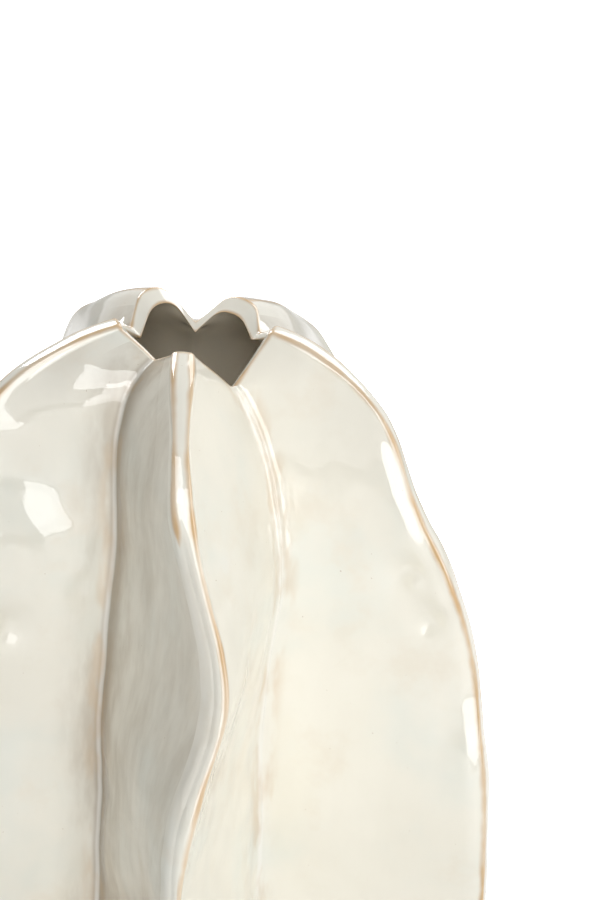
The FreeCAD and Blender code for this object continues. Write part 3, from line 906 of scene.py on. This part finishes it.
def clay_material():
    """Bare fired clay: sandy and matte."""
    material = bpy.data.materials.new("bare_clay")
    nodes = Nodes(material)
    place = nodes.add("ShaderNodeTexCoord").outputs["Object"]
    sand = nodes.pattern(place, "sand")
    colour = nodes.mix(nodes.ramp(sand, *RAMPS["sand"]), DARK_CLAY, PALE_CLAY)
    grains = nodes.bump(sand, SAND_STRENGTH, SAND_DEPTH)
    shader = nodes.add(
        "ShaderNodeBsdfPrincipled", None, Base_Color=colour, Roughness=CLAY_ROUGHNESS, Normal=grains,
    )
    nodes.add("ShaderNodeOutputMaterial", None, Surface=shader.outputs[0])
    return material


glaze = glaze_material()
clay = clay_material()
floor_piece(clay)
for index, valley_name in enumerate(VALLEYS):
    wall_piece(index).build(f"glazed_wall_{valley_name}", f"wall_slab_{valley_name}", "cream_glaze", glaze)
for index, fin_name in enumerate(FINS):
    band_piece(index).build(f"glazed_band_{fin_name}", f"edge_band_{fin_name}", "cream_glaze", glaze)


def stage_floor():
    """A white studio floor, far wider than the picture, which keeps the vase's shadow."""
    material = bpy.data.materials.new("studio_white")
    nodes = Nodes(material)
    place = nodes.add("ShaderNodeTexCoord").outputs["Object"]
    colour = nodes.mix(nodes.pattern(place, "floor"), FLOOR_WHITE, FLOOR_BRIGHT)
    shader = nodes.add(
        "ShaderNodeBsdfPrincipled", None, Base_Color=colour, Roughness=FLOOR_ROUGHNESS,
        Specular_IOR_Level=0.0,
    )
    path = nodes.add("ShaderNodeLightPath").outputs
    mirrored = nodes.math("MULTIPLY", path["Is Glossy Ray"], MIRRORED_LIFT_SHARE)
    seen = nodes.math("MAXIMUM", path["Is Camera Ray"], mirrored)
    away = nodes.add("ShaderNodeVectorMath", {"operation": "LENGTH"}, i0=place).outputs["Value"]
    near_lift = nodes.ramp(away, *NEAR_RANGE, FLOOR_LIFT_NEAR, FLOOR_LIFT)
    far_lift = nodes.ramp(away, *FAR_RANGE, 0.0, FLOOR_LIFT_FAR - FLOOR_LIFT)
    glow = nodes.math("MULTIPLY", seen, nodes.math("ADD", near_lift, far_lift))
    lift = nodes.add("ShaderNodeEmission", None, Color=WHITE, Strength=glow)
    both = nodes.add("ShaderNodeAddShader", None, i0=shader.outputs[0], i1=lift.outputs[0])
    nodes.add("ShaderNodeOutputMaterial", None, Surface=both.outputs[0])
    mesh = bpy.data.meshes.new("studio_floor")
    corners = [(x * FLOOR_REACH, y * FLOOR_REACH, 0) for x, y in ((-1, -1), (1, -1), (1, 1), (-1, 1))]
    mesh.from_pydata(corners, [], [(0, 1, 2, 3)])
    mesh.materials.append(material)
    floor = bpy.data.objects.new("studio_floor", mesh)
    bpy.context.scene.collection.objects.link(floor)


def softbox(name, azimuth, elevation, distance, width, height, radiance):
    """A panel of soft light at a bearing and an elevation from the vase, which faces it."""
    light = bpy.data.lights.new(name, "AREA")
    light.shape = "RECTANGLE"
    light.size, light.size_y = width, height
    light.energy = radiance * math.pi * width * height
    lamp = bpy.data.objects.new(name, light)
    bpy.context.scene.collection.objects.link(lamp)
    bearing, rise = math.radians(azimuth), math.radians(elevation)
    across, inwards = math.sin(bearing) * math.cos(rise), -math.cos(bearing) * math.cos(rise)
    towards = Vector((across, inwards, math.sin(rise)))
    spot = towards * distance + Vector((0, 0, LIGHT_AIM))
    lamp.matrix_world = Matrix.Translation(spot) @ towards.to_track_quat("Z", "Y").to_matrix().to_4x4()


def studio():
    """A white room round the vase and its soft lights."""
    world = bpy.data.worlds.new("white_room")
    bpy.context.scene.world = world
    nodes = Nodes(world)
    path = nodes.add("ShaderNodeLightPath").outputs
    seen = nodes.add("ShaderNodeBackground", None, Color=WHITE, Strength=WORLD_SEEN)
    lit = nodes.add("ShaderNodeBackground", None, Color=WHITE, Strength=WORLD_LIT)
    either = nodes.math("MAXIMUM", path["Is Camera Ray"], path["Is Glossy Ray"])
    choice = nodes.add("ShaderNodeMixShader", None, i0=either, i1=lit.outputs[0], i2=seen.outputs[0])
    nodes.add("ShaderNodeOutputWorld", None, Surface=choice.outputs[0])
    for name, sizes in SOFTBOXES.items():
        softbox(name, *sizes)


def place_camera():
    """The camera of the picture: a long lens that looks down on the vase, tilted a little."""
    rise, roll = math.radians(CAMERA_ELEVATION), math.radians(CAMERA_ROLL)
    back = Vector((0, -math.cos(rise), math.sin(rise)))
    right = Vector((1, 0, 0))
    up = back.cross(right)
    x, y = PICTURE_SIZE[0] / 2 - AXIS_PIXEL[0], PICTURE_SIZE[1] / 2 - AXIS_PIXEL[1]
    u, v = x * math.cos(roll) + y * math.sin(roll), -x * math.sin(roll) + y * math.cos(roll)
    gaze = (right * u - up * v - back * CAMERA_FOCAL).normalized()
    level_right = right * math.cos(roll) + up * math.sin(roll)
    level_right = (level_right - gaze * level_right.dot(gaze)).normalized()
    upward = level_right.cross(gaze)
    data = bpy.data.cameras.new("camera")
    data.sensor_width = SENSOR_SIZE
    data.lens = CAMERA_FOCAL / PICTURE_SIZE[1] * SENSOR_SIZE
    data.clip_end = CLIP_END
    camera = bpy.data.objects.new("camera", data)
    bpy.context.scene.collection.objects.link(camera)
    spot = (Vector((0, 0, VASE_HEIGHT)) + back * CAMERA_DISTANCE) * MM
    turn = Matrix((level_right, upward, -gaze)).transposed().to_4x4()
    camera.matrix_world = Matrix.Translation(spot) @ turn
    bpy.context.scene.camera = camera


stage_floor()
studio()
place_camera()
bpy.context.scene.view_settings.view_transform = "Standard"
